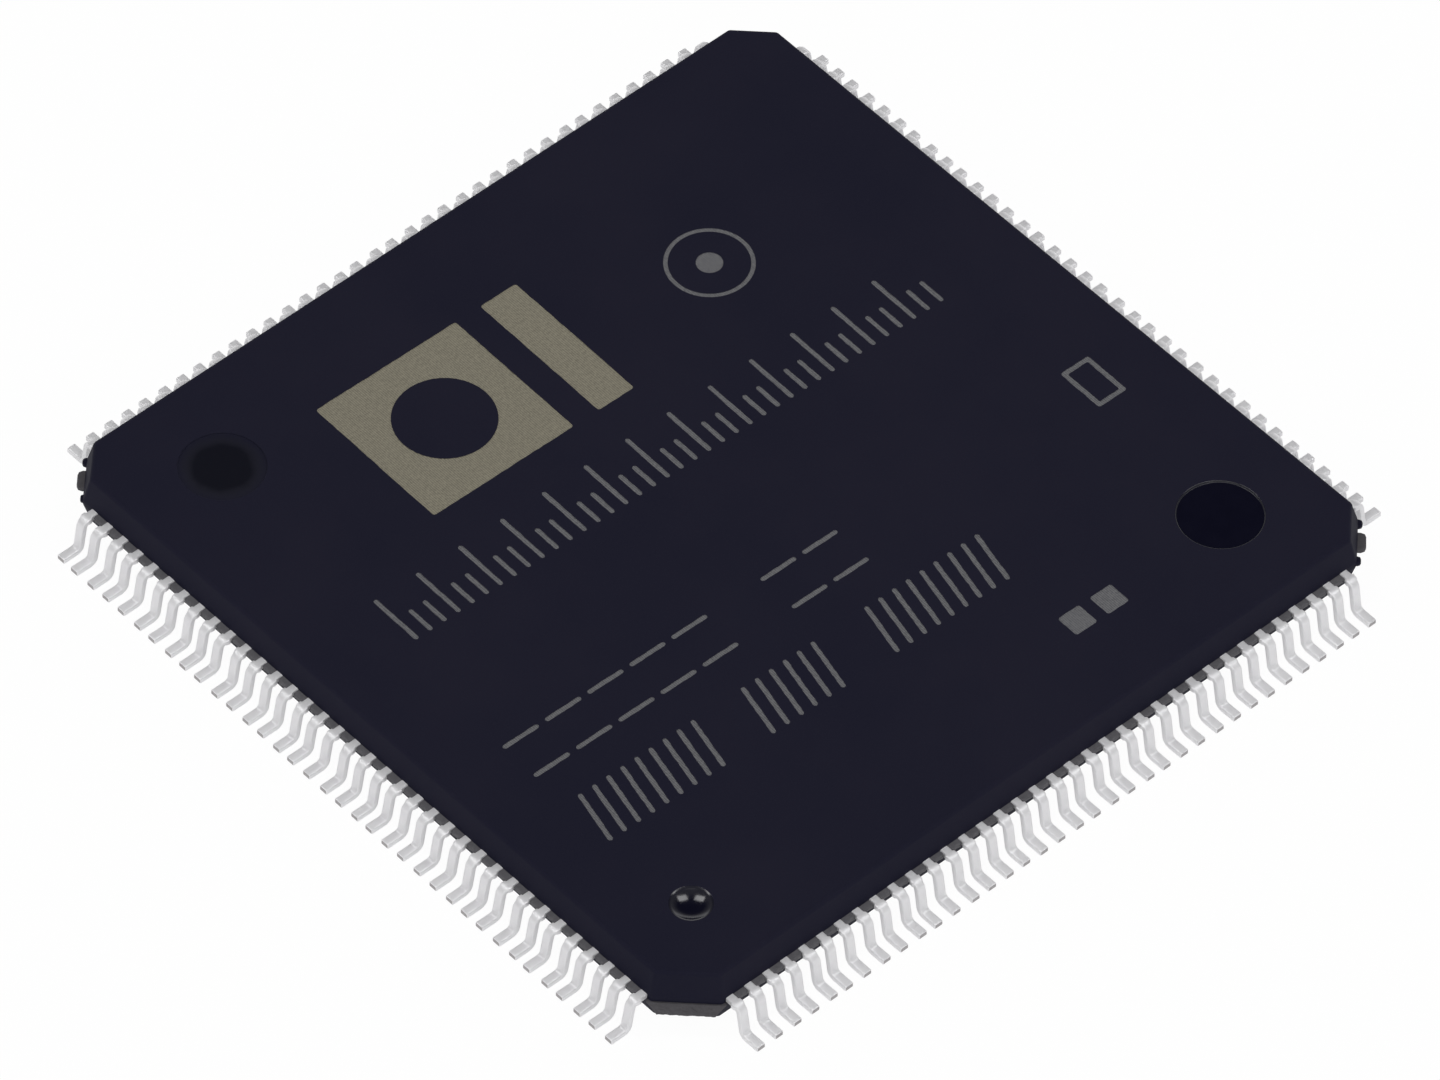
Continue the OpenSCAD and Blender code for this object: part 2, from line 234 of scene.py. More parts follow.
def web_resin_painted_reflection():
    f = new_finish("web_resin_painted_reflection")
    grain = f.noise(18, 3, 0.6)
    return f.surface(
        # Lighter grey than the moulding: a painted reflection of the bright floor on the webs.
        Base_Color=f.blend(grain, tone(72, 71, 75), tone(104, 103, 107)),
        Roughness=0.5 + 0.15 * grain,
        Specular_IOR_Level=0.4,
        Normal=f.bump(grain, 0.4, 0.006),
    )


def gate_resin_painted_light():
    f = new_finish("gate_resin_painted_light")
    grain = f.noise(14, 3, 0.6)
    return f.surface(
        # Lighter grey than the moulding: painted light, for the light that the rough broken resin catches
        # from above.
        Base_Color=f.blend(grain, tone(60, 58, 62), tone(82, 80, 84)),
        Roughness=0.6 + 0.15 * grain,
        Specular_IOR_Level=0.4,
        Normal=f.bump(grain, 0.5, 0.01),
    )


def laser_mark(name, low, high):
    f = new_finish(name)
    hatch = f.add(
        "ShaderNodeTexWave",
        {"wave_type": "BANDS", "bands_direction": "X"},
        {"Vector": f.place(), "Scale": 6.5 / MM, "Distortion": 1.5, "Detail": 2.0, "Detail Scale": 2.0},
        output="Fac",
    )
    burn = f.noise(16, 4, 0.7)
    heat = f.grade(0.25 * hatch + 0.75 * burn, (0.3, 0.0), (0.68, 1.0))
    return f.surface(
        Base_Color=f.blend(heat, low, high),
        Roughness=0.85,
        Specular_IOR_Level=0.15,
        Normal=f.bump(burn + 0.4 * hatch, 0.6, 0.01),
    )


def tin_plate():
    f = new_finish("tin_plate")
    grain = f.noise(26, 3, 0.6)
    cloud = f.noise(2.2, 2)
    return f.surface(
        Base_Color=f.blend(cloud, tone(228, 227, 230), tone(238, 238, 239)),
        Metallic=0.42,
        Roughness=0.4 + 0.16 * grain,
        Normal=f.bump(grain, 0.25, 0.004),
    )


def sheared_end():
    f = new_finish("sheared_end")
    streak = f.noise(18, 3, 0.6)
    return f.surface(
        Base_Color=f.blend(streak, tone(150, 147, 148), tone(184, 181, 182)),
        Metallic=0.6,
        Roughness=0.5 + 0.15 * streak,
        Normal=f.bump(streak, 0.4, 0.006),
    )


def copper_frame():
    f = new_finish("copper_frame")
    rolled = f.noise(12, 3)
    return f.surface(
        Base_Color=f.blend(rolled, tone(196, 130, 98), tone(216, 152, 118)),
        Metallic=1.0,
        Roughness=0.3 + 0.15 * rolled,
        Normal=f.bump(rolled, 0.2, 0.004),
    )


def die_glue():
    f = new_finish("die_glue")
    flake = f.noise(30, 2)
    return f.surface(
        Base_Color=f.blend(flake, tone(150, 150, 152), tone(196, 196, 198)),
        Metallic=0.4,
        Roughness=0.45 + 0.2 * flake,
        Normal=f.bump(flake, 0.4, 0.004),
    )


def silicon():
    f = new_finish("silicon")
    cells = f.add(
        "ShaderNodeTexBrick",
        {"offset": 0.5},
        {
            "Vector": f.place(), "Scale": 3 / MM, "Mortar Size": 0.03,
            "Color1": tone(74, 78, 92), "Color2": tone(96, 90, 98), "Mortar": tone(140, 132, 116),
        },
    )
    return f.surface(
        Base_Color=cells, Metallic=0.55, Roughness=0.12 + 0.1 * f.noise(5, 1),
        Normal=f.bump(f.noise(8, 2), 0.1, 0.002),
    )


def polyimide_tape():
    f = new_finish("polyimide_tape")
    film = f.noise(1.5, 2)
    return f.surface(
        Base_Color=f.blend(film, tone(150, 88, 22), tone(176, 110, 34)),
        Roughness=0.3 + 0.1 * film,
        Normal=f.bump(film, 0.2, 0.01),
    )


def gold_wire():
    f = new_finish("gold_wire")
    draw = f.noise(60, 2)
    return f.surface(
        Base_Color=f.blend(draw, tone(235, 190, 92), tone(250, 212, 120)),
        Metallic=1.0,
        Roughness=0.2 + 0.1 * draw,
        Normal=f.bump(draw, 0.2, 0.001),
    )


# ---------------------------------------------------------------- mesh making


class Shell:
    """Points in millimetres and faces of one closed piece. Each face has a finish, and may be smooth."""

    def __init__(self):
        self.points, self.faces, self.finishes, self.smooth = [], [], [], []

    def ring(self, points):
        start = len(self.points)
        self.points += [tuple(p) for p in points]
        return list(range(start, len(self.points)))

    def face(self, ids, finish=0, smooth=False):
        self.faces.append(tuple(ids))
        self.finishes.append(finish)
        self.smooth.append(smooth)

    def skin(self, low, high, finish=0, smooth=True):
        """Quads between two closed rings that both run anticlockwise seen from the side of high."""
        n = len(low)
        for i in range(n):
            j = (i + 1) % n
            flag = smooth(i) if callable(smooth) else smooth
            self.face((low[i], low[j], high[j], high[i]), finish, flag)

    def mesh(self, name, finishes):
        mesh = bpy.data.meshes.new(name)
        mesh.from_pydata([[c * MM for c in p] for p in self.points], [], self.faces)
        for material in finishes:
            mesh.materials.append(material)
        mesh.polygons.foreach_set("material_index", self.finishes)
        mesh.polygons.foreach_set("use_smooth", self.smooth)
        mesh.update()
        return mesh


def place_piece(name, mesh, slot, *nodes):
    piece = bpy.data.objects.new(name, mesh)
    bpy.context.scene.collection.objects.link(piece)
    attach(piece, "root")
    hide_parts(*nodes)


def spot(angle, radius, at):
    return (at[0] + radius * math.cos(angle), at[1] + radius * math.sin(angle))


def round_loop(at, radius, count):
    return [spot(2 * math.pi * k / count, radius, at) for k in range(count)]


def meet(angle_a, reach_a, angle_b, reach_b):
    """Where two walls cross that face angle_a and angle_b at these distances from the centre."""
    across = math.sin(angle_b - angle_a)
    return (
        (reach_a * math.sin(angle_b) - reach_b * math.sin(angle_a)) / across,
        (reach_b * math.cos(angle_a) - reach_a * math.cos(angle_b)) / across,
    )


# ---------------------------------------------------------------- the moulding

# The eight side walls: the way each faces, and its distance from the centre
WALLS = [
    (math.radians(45 * k - 90), HALF if k % 2 == 0 else CHAMFER_WALLS[(k + 1) // 2 % 4])
    for k in range(8)
]
CORNER_STEPS = 4


def body_loop(inset):
    """Outline of the moulding in plan, inset from the parting band, with slightly rounded corners."""
    loop = []
    for k in range(8):
        (turn_a, reach_a), (turn_b, reach_b) = WALLS[k], WALLS[(k + 1) % 8]
        centre = meet(turn_a, reach_a - inset - CORNER_ROUNDING, turn_b, reach_b - inset - CORNER_ROUNDING)
        for step in range(CORNER_STEPS + 1):
            loop.append(spot(turn_a + math.pi / 4 * step / CORNER_STEPS, CORNER_ROUNDING, centre))
    return loop


def on_corner_arc(i):
    """Whether a wall's quad starts at point i of body_loop on the round of a corner."""
    return i % (CORNER_STEPS + 1) != CORNER_STEPS


def body_levels():
    """Rings of the moulding: height above mid-plane, inset, and whether the skin above is rounded."""
    rise = TOP - FRAME_HIGH
    wall_inset = rise * math.tan(DRAFT)
    setback = EDGE_RADIUS * math.tan((math.pi / 2 - DRAFT) / 2)
    levels = [(FRAME_HIGH - FRAME_MID, 0.0, False)]
    steps = 5
    for k in range(steps + 1):
        turn = DRAFT + (math.pi / 2 - DRAFT) * k / steps
        levels.append((
            TOP - FRAME_MID - EDGE_RADIUS + EDGE_RADIUS * math.sin(turn),
            wall_inset + setback - EDGE_RADIUS * math.cos(turn),
            True,
        ))
    return levels


def inside(point, loop):
    x, y = point
    hit = False
    for (ax, ay), (bx, by) in zip(loop, loop[1:] + loop[:1]):
        if (ay > y) != (by > y) and x < ax + (y - ay) * (bx - ax) / (by - ay):
            hit = not hit
    return hit


def turned(point):
    x, y = point
    return (
        x * math.cos(MARK_TURN) - y * math.sin(MARK_TURN),
        x * math.sin(MARK_TURN) + y * math.cos(MARK_TURN),
    )


def ragged(loop, rng):
    """The loop with points added along its long edges, each a little off the line as a laser leaves it."""
    step, amount = 0.13, 0.006
    out = []
    for a, b in zip(loop, loop[1:] + loop[:1]):
        length = math.dist(a, b)
        count = max(1, round(length / step))
        out.append(a)
        for k in range(1, count):
            t = k / count
            off = rng.uniform(-amount, amount)
            out.append((
                a[0] + (b[0] - a[0]) * t - (b[1] - a[1]) / length * off,
                a[1] + (b[1] - a[1]) * t + (b[0] - a[0]) / length * off,
            ))
    return out


def stroke(a, b):
    """A burnt line with round ends."""
    along = math.atan2(b[1] - a[1], b[0] - a[0])
    ends = [spot(along + math.pi * (0.5 + k / 4), MARK_STROKE / 2, a) for k in range(5)]
    return ends + [spot(along + math.pi * (-0.5 + k / 4), MARK_STROKE / 2, b) for k in range(5)]


def plate(x0, y0, x1, y1, r=0.06):
    """A filled rectangle with small round corners."""
    loop = []
    corners = ((180, x0 + r, y0 + r), (270, x1 - r, y0 + r), (0, x1 - r, y1 - r), (90, x0 + r, y1 - r))
    for turn, x, y in corners:
        loop += [spot(math.radians(turn + 30 * k), r, (x, y)) for k in range(4)]
    return loop


def marks():
    """Plain marks on the top: (outer loop, inner loop or None, finish)."""
    found = []

    def put(loop, finish=MARK_LINE, hole=None):
        found.append((loop, hole, finish))

    # A square with a round gap, an upright bar, and a ring with a dot
    block_low, block_high = 3.4, 7.3
    ring_at = (4.08, 5.07)
    put(plate(-5.1, block_low, -1.2, block_high), MARK_FIELD, round_loop((-3.15, 5.35), 1.15, 40))
    put(plate(-0.5, block_low, 0.5, block_high), MARK_FIELD)
    put(round_loop(ring_at, 1.0, 56), MARK_LINE, round_loop(ring_at, 0.9, 56))
    put(round_loop(ring_at, 0.3, 24))

    # A long row of upright strokes, rows of level strokes, and a row of slanted ones
    cell = 1.165
    first, foot, tall, short = -7.58, 1.05, 1.3, 0.62
    for k in range(39):
        x = first + k * cell / 3
        put(stroke((x, foot), (x, foot + (short if k % 3 else tall))))
    level_rows, level_length = (-3.45, -2.45), 0.86
    for start, count in ((-8.1, 5), (-0.95, 2)):
        for k in range(count):
            x = start + k * cell
            for y in level_rows:
                put(stroke((x, y), (x + level_length, y)))
    slant_low, slant_high, slant = -5.76, -4.48, 0.28
    for start, count in ((-8.05, 3), (-3.55, 2), (-0.1, 3)):
        for k in range(3 * count):
            x = start + k * cell / 3
            put(stroke((x, slant_low), (x + slant, slant_high)))

    # An outlined box and two small squares
    put(plate(7.7, -3.45, 8.5, -2.2), MARK_LINE, plate(7.82, -3.33, 8.38, -2.32, 0.03))
    for x in (3.35, 4.25):
        put(plate(x - 0.3, -7.9, x + 0.3, -7.3))
    return found


def face_plate(shell, rim, height, up, pits, rounds):
    """Fills a flat face inside its rim, with pits sunk in it. The rounds stay open; returns their rims."""
    ids = list(rim)
    flat = [shell.points[i][:2] for i in rim]
    edges = [(k, (k + 1) % len(rim)) for k in range(len(rim))]

    def lay(loop):
        start = len(flat)
        flat.extend(loop)
        ring = shell.ring([(x, y, height) for x, y in loop])
        ids.extend(ring)
        edges.extend((start + k, start + (k + 1) % len(loop)) for k in range(len(loop)))
        return ring

    sunk = []
    for outer, hole, finish in pits:
        floors = {}
        for loop in (outer, hole):
            if not loop:
                continue
            ring = lay(loop)
            floor = shell.ring([(x, y, height - up * MARK_DEPTH) for x, y in loop])
            floors.update(zip(ring, floor))
            first, second = (floor, ring) if (loop is outer) == (up > 0) else (ring, floor)
            shell.skin(first, second, finish, False)
        sunk.append((outer, hole, finish, floors))
    open_rims = [lay(loop) for loop in rounds]

    points, _, faces, origins, _, _ = delaunay_2d_cdt(
        [Vector(p) for p in flat], edges, [list(range(len(rim)))], 1, 1e-7
    )
    for corner_ids in faces:
        found = [origins[i][0] for i in corner_ids]
        centre = [sum(flat[i][c] for i in found) / len(found) for c in (0, 1)]
        if any(inside(centre, loop) for loop in rounds):
            continue
        face, finish = [ids[i] for i in found], RESIN
        for outer, hole, mark_finish, floors in sunk:
            if inside(centre, outer) and not (hole and inside(centre, hole)):
                face, finish = [floors[i] for i in face], mark_finish
                break
        shell.face(face if up > 0 else face[::-1], finish)
    return open_rims


def sink_pin_mark(shell, rim, at, height, up, finish=POLISHED):
    """A shallow flat-bottomed disc with a rounded rim, as an ejector pin leaves it."""
    lip = PIN_LIP
    steps = (
        (PIN_RADIUS + 0.3 * lip, 0.15 * lip, True), (PIN_RADIUS, lip, True),
        (PIN_RADIUS - 0.1 * lip, PIN_DEPTH - 0.4 * lip, True), (PIN_RADIUS - 0.7 * lip, PIN_DEPTH, True),
        (0.8 * PIN_RADIUS, PIN_DEPTH, False), (0.4 * PIN_RADIUS, PIN_DEPTH, False),
    )
    outer = rim
    for radius, drop, smooth in steps:
        inner = shell.ring([(x, y, height - up * drop) for x, y in round_loop(at, radius, len(rim))])
        shell.skin(*((outer, inner) if up > 0 else (inner, outer)), finish, smooth)
        outer = inner
    shell.face(outer if up > 0 else outer[::-1], finish)


def sink_dimple(shell, rim, height):
    """A bowl with a slightly rounded rim."""
    at, radius, depth, lip = (DIMPLE[name] for name in ("at", "radius", "depth", "lip"))
    ball = (radius ** 2 + depth ** 2) / (2 * depth)
    count = len(rim)
    outer = rim
    slope = math.asin(radius / ball)
    for k in (1, 2):
        turn = slope * k / 3
        inner = shell.ring([
            (x, y, height - lip * math.tan(turn) * k / 3)
            for x, y in round_loop(at, radius + lip * (1 - k / 3), count)
        ])
        shell.skin(outer, inner, POLISHED, True)
        outer = inner
    steps, bowl_share = 12, 0.97  # the rest of the slope is the rounded rim
    for k in range(steps):
        turn = slope * (1 - k / steps) * bowl_share
        drop = depth - ball + ball * math.cos(turn)
        inner = shell.ring([(x, y, height - drop) for x, y in round_loop(at, ball * math.sin(turn), count)])
        shell.skin(outer, inner, POLISHED, True)
        outer = inner
    middle = shell.ring([(*at, height - depth)])[0]
    for i in range(count):
        shell.face((outer[i], outer[(i + 1) % count], middle), POLISHED, True)


def pin_rims(spots):
    return [round_loop(at, PIN_RADIUS + PIN_LIP, 72) for at in spots]


def moulded_block(rng):
    """The moulding without its resin fringe."""
    shell = Shell()
    levels = body_levels()
    heights = [(-z, inset, rounded) for z, inset, rounded in reversed(levels)] + levels
    rings = [shell.ring([(x, y, FRAME_MID + z) for x, y in body_loop(inset)]) for z, inset, _ in heights]
    half = len(levels)
    for k in range(len(rings) - 1):
        rounded = k < half - 2 or k > half
        shell.skin(rings[k], rings[k + 1], RESIN, rounded or on_corner_arc)

    pin_spots = [(PIN_AT, -PIN_AT), (-PIN_AT, PIN_AT)]
    pits = [
        ([turned(p) for p in ragged(outer, rng)], hole and [turned(p) for p in ragged(hole, rng)], finish)
        for outer, hole, finish in marks()
    ]
    dimple_rim = round_loop(DIMPLE["at"], DIMPLE["radius"] + DIMPLE["lip"], 64)
    rims = face_plate(shell, rings[-1], TOP, 1, pits, pin_rims(pin_spots) + [dimple_rim])
    for rim, at, finish in zip(rims, pin_spots, (POLISHED, WORN)):
        sink_pin_mark(shell, rim, at, TOP, 1, finish)
    sink_dimple(shell, rims[-1], TOP)

    pin_spots = [(sx * PIN_AT, sy * PIN_AT) for sx in (-1, 1) for sy in (-1, 1)]
    rims = face_plate(shell, rings[0], BOTTOM, -1, [], pin_rims(pin_spots))
    for rim, at in zip(rims, pin_spots):
        sink_pin_mark(shell, rim, at, BOTTOM, -1)
    return shell


def pillow(shell, loop, low, high, edge, finish):
    """A convex slab of resin with softened edges."""
    area = sum(a[0] * b[1] - b[0] * a[1] for a, b in zip(loop, loop[1:] + loop[:1]))
    loop = loop if area > 0 else loop[::-1]
    centre = [sum(p[c] for p in loop) / len(loop) for c in (0, 1)]

    def shrunk(by):
        out = []
        for x, y in loop:
            away = math.dist((x, y), centre)
            keep = 1 - by / away
            out.append((centre[0] + (x - centre[0]) * keep, centre[1] + (y - centre[1]) * keep))
        return out

    stack = [(low, edge), (low + 0.3 * edge, 0.3 * edge), (low + edge, 0), (high - edge, 0),
             (high - 0.3 * edge, 0.3 * edge), (high, edge)]
    rings = [shell.ring([(x, y, z) for x, y in shrunk(by)]) for z, by in stack]
    for below, above in zip(rings, rings[1:]):
        shell.skin(below, above, finish, True)
    shell.face(rings[0][::-1], finish)
    shell.face(rings[-1], finish)


def quarter_turned(point, quarter):
    x, y = point
    for _ in range(quarter % 4):
        x, y = -y, x
    return (x, y)


def diagonal(k, along, across):
    """A point on the diagonal of corner k: along it from the centre, and across it."""
    turn = math.radians(225 + 90 * k)
    return (
        along * math.cos(turn) - across * math.sin(turn),
        along * math.sin(turn) + across * math.cos(turn),
    )


def lead_x(i, pitch=PITCH):
    return (i - (LEADS - 1) / 2) * pitch


def resin_fringe(rng):
    """Webs of resin between the leads, lumps at the plain corners, and the bar at the gate."""
    shell = Shell()
    low, high = FRAME_LOW + FRINGE_GAP, FRAME_HIGH - FRINGE_GAP
    for side in range(4):
        for i in range(LEADS - 1):
            left, right = lead_x(i) + WEB_SIDE, lead_x(i + 1) - WEB_SIDE
            reach = HALF + WEB_LENGTH - rng.uniform(0.0, 0.035)
            c1, c2 = rng.uniform(0.03, 0.06), rng.uniform(0.03, 0.06)
            dip = rng.uniform(0.0, 0.012)
            middle = (left + right) / 2
            loop = [
                (left, -HALF + WEB_ROOT), (left, -reach + c1), (left + 0.35 * c1, -reach + 0.35 * c1),
                (left + c1, -reach), (middle, -reach + dip), (right - c2, -reach),
                (right - 0.35 * c2, -reach + 0.35 * c2), (right, -reach + c2), (right, -HALF + WEB_ROOT),
            ]
            loop = [quarter_turned(p, side) for p in loop]
            pillow(shell, loop, low, high - rng.uniform(0, 0.02), WEB_EDGE, WEB_PAINTED_REFLECTION)
    # At each plain corner: where a lump starts and ends across the diagonal, and how far it stands out
    lumps = {
        1: ((-0.25, 0.25, 0.19), (-0.62, -0.42, 0.09), (0.42, 0.62, 0.1)),
        2: ((-0.25, 0.25, 0.16), (-0.57, -0.43, 0.08), (0.43, 0.57, 0.08)),
        3: ((-0.255, 0.255, 0.17), (-0.62, -0.42, 0.1), (0.42, 0.58, 0.06)),
    }
    for k, shapes in lumps.items():
        wall = CHAMFER_WALLS[k]
        for start, end, reach in shapes:
            c = min(0.07, 0.45 * reach)
            root, front = wall - LUMP_ROOT, wall + reach
            loop = [
                (root, start), (front - 1.6 * c, start), (front - 0.4 * c, start + 0.6 * c),
                (front, start + 1.7 * c), (wall + reach * 0.97, end - 1.5 * c),
                (front - 0.5 * c, end - 0.5 * c), (front - 1.8 * c, end), (root, end),
            ]
            # The middle lump takes the tab's lighter grey, which is painted light; the side lumps keep the
            # plain resin.
            finish = TAB_PAINTED_LIGHT if start < 0 < end else RESIN
            pillow(shell, [diagonal(k, *p) for p in loop], low, high, LUMP_EDGE, finish)
    gate_tab(shell, rng)
    return shell


def gate_tab(shell, rng):
    """The resin left at the gate: a bar under the first corner with a rough, sloping broken end."""
    columns, rows = 26, 6
    rough_edge, rough_face = (-0.014, 0.004), (-0.022, 0.012)
    wall = CHAMFER_WALLS[0]
    half = GATE_WIDTH / 2

    def spot_on_end(row, column):
        drop = GATE_HEIGHT * row / rows
        edge = row in (0, rows) or column in (0, columns)
        across = (half - drop) * (2 * column / columns - 1)
        along = wall + GATE_REACH - (GATE_HEIGHT - drop) * math.tan(GATE_LEAN)
        along += rng.uniform(*(rough_edge if edge else rough_face))
        return (*diagonal(0, along, across), FRAME_LOW - drop)

    end = [
        shell.ring([spot_on_end(row, column) for column in range(columns + 1)])
        for row in range(rows + 1)
    ]
    for upper, lower in zip(end, end[1:]):
        for k in range(columns):
            shell.face((upper[k], lower[k], lower[k + 1], upper[k + 1]), TAB_PAINTED_LIGHT)
    brim = end[0] + [row[-1] for row in end[1:]] + end[-1][-2::-1] + [row[0] for row in end[-2:0:-1]]
    root = []
    for i in brim:
        x, y, z = shell.points[i]
        across = (x - y) / math.sqrt(2)
        root.append((*diagonal(0, wall - half, across), z))
    root = shell.ring(root)
    shell.skin(brim, root, TAB_PAINTED_LIGHT, False)
    shell.face(root, TAB_PAINTED_LIGHT)


def joined(base, tool):
    """The mesh of base with the tool's solids added."""
    target = bpy.data.objects.new("target", base)
    cutter = bpy.data.objects.new("cutter", tool)
    for o in (target, cutter):
        bpy.context.scene.collection.objects.link(o)
    modifier = target.modifiers.new("join", "BOOLEAN")
    modifier.operation, modifier.object, modifier.solver = "UNION", cutter, "EXACT"
    graph = bpy.context.evaluated_depsgraph_get()
    mesh = bpy.data.meshes.new_from_object(target.evaluated_get(graph))
    for o in (target, cutter):
        bpy.data.objects.remove(o)
    return mesh


def make_moulding():
    rng = random.Random(7)
    finishes = [
        mould_compound(),
        polished_resin(),
        worn_resin(),
        laser_mark("laser_line", tone(84, 84, 88), tone(116, 116, 118)),
        laser_mark("laser_field", tone(110, 106, 94), tone(142, 137, 121)),
        web_resin_painted_reflection(),
        gate_resin_painted_light(),
    ]
    mesh = moulded_block(rng).mesh("block", finishes)
    mesh = joined(mesh, resin_fringe(rng).mesh("fringe", finishes))
    mesh.name = "moulding"
    place_piece("moulding", mesh, "mould_compound", "mould_body")


# ---------------------------------------------------------------- the leads


def lead_width(u):
    """Half the width of a lead at a distance from the centre of the package."""
    stations = (
        (TIP_ROW, TIP_HALF), (TIP_END, TIP_HALF), (FAN_END, SHANK_HALF), (SHANK_END, SHANK_HALF),
        (NECK_START, NECK_HALF), (NECK_END, NECK_HALF), (10.172, 0.108), (10.182, 0.127),
        (10.195, STUB_HALF), (10.28, STUB_HALF), (10.294, 0.127), (10.31, 0.115),
        (10.33, LEAD_HALF), (TOE, LEAD_HALF),
    )
    for (u0, w0), (u1, w1) in zip(stations, stations[1:]):
        if u <= u1:
            return w0 + (w1 - w0) * (u - u0) / (u1 - u0)
    return stations[-1][1]


def lead_path(lean):
    """Middle line of a lead: (distance from centre, height, turn of the sheet's upper side from upright)."""
    path = [(u, FRAME_MID, 0.0) for u in (
        TIP_ROW, TIP_END, FAN_END, SHANK_END, NECK_START, 9.96, NECK_END, 10.172, 10.182, 10.195, 10.22
    )]
    bend_turn = math.pi / 2 - lean
    steps = 9
    for k in range(steps + 1):
        turn = bend_turn * k / steps
        path.append((SHOULDER_END + BEND * math.sin(turn), FRAME_MID - BEND + BEND * math.cos(turn), turn))
    for k in range(steps + 1):
        turn = bend_turn * (1 - k / steps)
        path.append((
            FOOT_START - BEND * math.sin(turn),
            THICKNESS / 2 + BEND - BEND * math.cos(turn),
            turn,
        ))
    path += [(u, THICKNESS / 2, 0.0) for u in (10.72, 10.86, 10.965)]
    return path


def sheet_section(half_width, shrink=0.0):
    """Section of the strip: wide soft corners on the punch side, tighter ones below."""
    w, t = half_width - shrink, THICKNESS / 2 - shrink
    top, low = min(SOFT_CORNER, w / 2) - shrink / 2, TIGHT_CORNER - shrink / 2
    section = [(w - top - CORNER_LAND, t)]
    section += [(w - top + top * math.sin(a), t - top + top * math.cos(a)) for a in (0.35, 0.85, 1.35)]
    section += [(w - low + low * math.cos(a), -t + low - low * math.sin(a)) for a in (0.2, 0.8, 1.4)]
    section += [(w - low - CORNER_LAND, -t)]
    return section + [(-x, z) for x, z in reversed(section)]


def add_lead(shell, side, i, rng):
    """One lead from fingertip to toe, with its own small errors of bending and cutting."""
    sway = rng.uniform(-0.006, 0.006)
    yaw = rng.uniform(-0.008, 0.008)
    tilt = rng.uniform(0.0, 0.012)
    stop = TOE - rng.uniform(0.0, 0.018)

    def ring(u, z, turn, shrink=0.0):
        fan = min(1.0, max(0.0, (u - TIP_END) / (FAN_END - TIP_END)))
        x = lead_x(i, TIP_PITCH) * (1 - fan) + lead_x(i) * fan
        free = max(0.0, u - FREE_START)
        x += (sway + yaw * 4) * min(1.0, free / 0.2) + yaw * free
        rise = tilt * max(0.0, u - FOOT_START)
        points = []
        for across, out in sheet_section(lead_width(u), shrink):
            p = (x - across, -(u + out * math.sin(turn)))
            points.append((*quarter_turned(p, side), z + rise + out * math.cos(turn)))
        return shell.ring(points)

    rings = [ring(*station) for station in lead_path(LEAN)]
    rings.append(ring(stop - 0.016, THICKNESS / 2, 0.0))
    rings.append(ring(stop - 0.004, THICKNESS / 2, 0.0, 0.004))
    rings.append(ring(stop, THICKNESS / 2, 0.0, 0.014))
    for low, high in zip(rings, rings[1:]):
        shell.skin(low, high, 0, True)
    shell.face(rings[0][::-1], 1)
    shell.face(rings[-1], 1)


def make_leads():
    rng = random.Random(11)
    finishes = [tin_plate(), sheared_end()]
    per_group = LEADS // GROUPS
    for side, name in enumerate(SIDES):
        for group in range(GROUPS):
            shell = Shell()
            for i in range(group * per_group, (group + 1) * per_group):
                add_lead(shell, side, i, rng)
            piece = f"{name}_gull_wings_{group + 1}"
            place_piece(piece, shell.mesh(piece, finishes), "tin_plate", f"{name}_leads_{group + 1}")


# ---------------------------------------------------------------- inside metal


def finish_inside():
    """Finishes of the frame's own nodes, which the resin hides."""
    shared = {
        "die_paddle": copper_frame(), "die_attach": die_glue(), "die": silicon(),
        "lead_tape": polyimide_tape(), "wires": gold_wire(),
    }
    for name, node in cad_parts.items():
        material = shared.get(name) or (shared["wires"] if "_wires_" in name else None)
        if material:
            node.data.materials.clear()
            node.data.materials.append(material)


# ---------------------------------------------------------------- studio

AZIMUTH, ELEVATION, ROLL = math.radians(-42.873), math.radians(49.069), math.radians(1.169)
DISTANCE, LENS = 299.354, 352.575
AIM = (-0.506, -0.548, 0.75)


def towards(azimuth, elevation):
    """Unit vector towards a viewpoint: azimuth 0 is the front, and it grows towards the right."""
    return Vector((
        math.sin(azimuth) * math.cos(elevation),
        -math.cos(azimuth) * math.cos(elevation),
        math.sin(elevation),
    ))


def set_camera():
    back = towards(AZIMUTH, ELEVATION)
    right = Vector((0, 0, 1)).cross(back).normalized()
    up = back.cross(right)
    rolled_right = math.cos(ROLL) * right + math.sin(ROLL) * up
    rolled_up = -math.sin(ROLL) * right + math.cos(ROLL) * up
    data = bpy.data.cameras.new("camera")
    data.lens, data.sensor_width = LENS, 36.0
    data.clip_start, data.clip_end = 0.01, 20.0
    camera = bpy.data.objects.new("camera", data)
    camera.matrix_world = Matrix.Translation((Vector(AIM) + back * DISTANCE) * MM) @ Matrix(
        (rolled_right, rolled_up, back)
    ).transposed().to_4x4()
    bpy.context.scene.collection.objects.link(camera)
    bpy.context.scene.camera = camera


def hang_lamp(name, azimuth, elevation, distance, size, radiance):
    """A soft box that faces the chip. Radiance 1 looks white."""
    away = towards(math.radians(azimuth), math.radians(elevation))
    data = bpy.data.lights.new(name, "AREA")
    data.shape, data.size, data.size_y = "RECTANGLE", size[0] * MM, size[1] * MM
    data.energy = radiance * math.pi * size[0] * size[1] * MM * MM
    lamp = bpy.data.objects.new(name, data)
    turn = away.to_track_quat("Z", "Y").to_matrix().to_4x4()
    lamp.matrix_world = Matrix.Translation(away * distance * MM) @ turn
    bpy.context.scene.collection.objects.link(lamp)


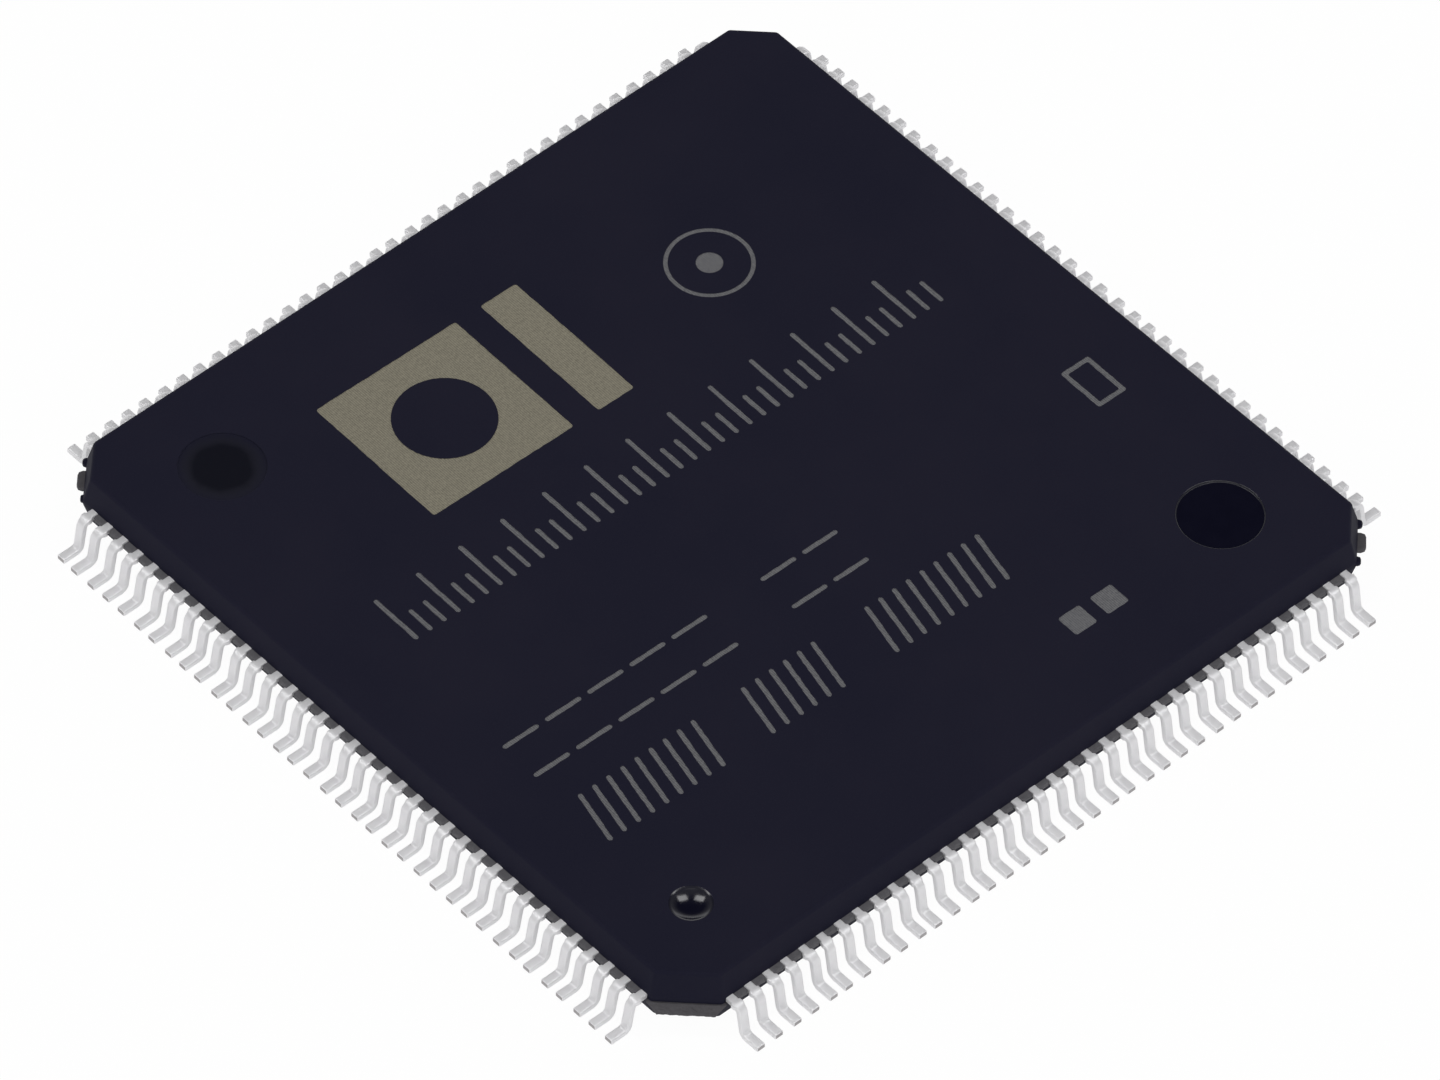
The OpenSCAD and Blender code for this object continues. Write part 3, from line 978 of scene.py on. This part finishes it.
def set_studio():
    scene = bpy.context.scene
    scene.view_settings.view_transform = "Standard"

    # A bright band along the horizon, and a dark card opposite the camera for the top to mirror
    sky = Finish(bpy.data.worlds.new("studio"))
    scene.world = sky.owner
    way = sky.add("ShaderNodeTexCoord", output="Generated")
    height = sky.add("ShaderNodeSeparateXYZ", {}, {0: way}, output="Z")
    behind = sky.add(
        "ShaderNodeVectorMath", {"operation": "DOT_PRODUCT"},
        {0: way, 1: towards(AZIMUTH + math.pi, math.radians(52))}, output="Value",
    )
    card = sky.grade(behind, (0.76, 1.0), (0.88, 0.08))
    shade = sky.grade(height, (0.0, 1.0), (0.13, 1.0), (0.3, 0.3), (1.0, 0.3)) * card
    light = sky.add("ShaderNodeBackground", {}, {"Color": shade, "Strength": 1.0})
    sky.add("ShaderNodeOutputWorld", {}, {0: light})

    # Paper that looks plain white, apart from a small share that takes the shadow
    white_share = 0.97
    floor = Finish(bpy.data.materials.new("floor"))
    camera, glossy, transmission = (
        floor.add("ShaderNodeLightPath", output=f"Is {kind} Ray")
        for kind in ("Camera", "Glossy", "Transmission")
    )
    paper = floor.blend(floor.noise(0.2, 2), tone(246, 246, 246), tone(249, 249, 249))
    plain = floor.add("ShaderNodeBsdfDiffuse", {}, {"Color": paper})
    bright = floor.add("ShaderNodeEmission", {}, {"Color": (1, 1, 1, 1), "Strength": 1.0})
    seen = (camera + glossy + transmission) * white_share
    mix = floor.add("ShaderNodeMixShader", {}, {0: seen, 1: plain, 2: bright})
    floor.add("ShaderNodeOutputMaterial", {}, {0: mix})

    mesh = bpy.data.meshes.new("floor")
    reach = 3000 * MM
    corners = [(-reach, -reach, 0), (reach, -reach, 0), (reach, reach, 0), (-reach, reach, 0)]
    mesh.from_pydata(corners, [], [(0, 1, 2, 3)])
    mesh.materials.append(floor.owner)
    ground = bpy.data.objects.new("floor", mesh)
    scene.collection.objects.link(ground)

    strip = {"elevation": 66, "distance": 230, "size": (60, 100), "radiance": 5.4}
    hang_lamp("left_strip", azimuth=200, **strip)
    hang_lamp("right_strip", azimuth=75, **strip)
    hang_lamp("front_fill", azimuth=-42.9, elevation=52, distance=420, size=(420, 300), radiance=1.5)


make_moulding()
make_leads()
finish_inside()
set_camera()
set_studio()
